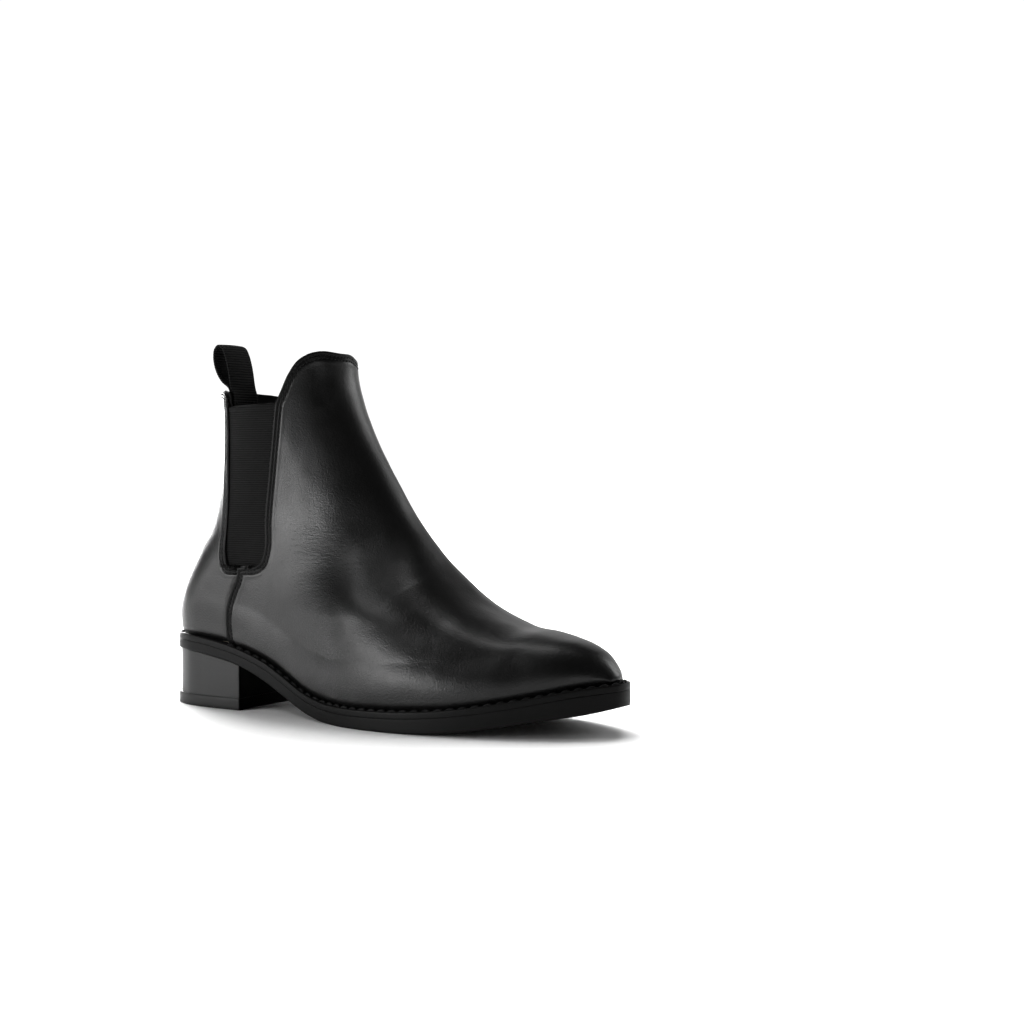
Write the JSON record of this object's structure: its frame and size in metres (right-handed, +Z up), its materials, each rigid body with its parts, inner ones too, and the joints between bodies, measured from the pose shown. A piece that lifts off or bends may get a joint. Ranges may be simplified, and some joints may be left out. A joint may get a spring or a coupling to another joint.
{
  "type": "chelsea boot",
  "caption": "Ankle-high pull-on boot with elastic side panels, low stacked heel, stitched welt and a webbing pull loop at the back.",
  "frame": {"origin": "middle of the footprint's bounding rectangle, on the floor plane", "axes": "+X towards the toe, -Y towards the outer (lateral) side, +Z up"},
  "size_m": [0.283, 0.0966, 0.202],
  "materials": {
    "upper_leather": "smooth semi-matt calf",
    "elastic": "ribbed elastic",
    "webbing": "ribbed webbing",
    "lining": "matt lining leather",
    "stiffener": "resin-stiffened felt",
    "board": "pressed fibre board",
    "sock": "matt leather",
    "foam": "soft foam",
    "steel": "plain steel",
    "cork": "granulated cork",
    "welt_rubber": "satin",
    "thread": "waxed thread",
    "sole_rubber": "matt",
    "heel_stack": "painted, satin",
    "lift_rubber": "matt"
  },
  "bodies": {
    "boot": {"vamp": "upper_leather", "quarter": "upper_leather", "gore_lateral": "elastic", "gore_medial": "elastic", "vamp_lining": "lining", "quarter_lining": "lining", "toe_puff": "stiffener", "heel_counter": "stiffener", "pull_tab_anchor": "webbing", "insole_board": "board", "sock_liner": "sock", "heel_cushion": "foam", "shank": "steel", "shank_rivets": "steel", "bottom_filler": "cork", "welt": "welt_rubber", "welt_stitch": "thread", "outsole": "sole_rubber", "heel_block": "heel_stack", "top_lift": "lift_rubber", "heel_nails": "steel", "heel_screw": "steel"},
    "loop": {"pull_tab": "webbing"}
  },
  "joints": [
    {"name": "pull_tab_fold", "type": "hinge", "parent": "boot", "child": "loop", "pos_m": [-0.1055, 0.0037, 0.177], "axis": [0, 1, 0], "range_deg": [-35, 95], "stiffness_Nm_per_rad": 0.004}
  ]
}
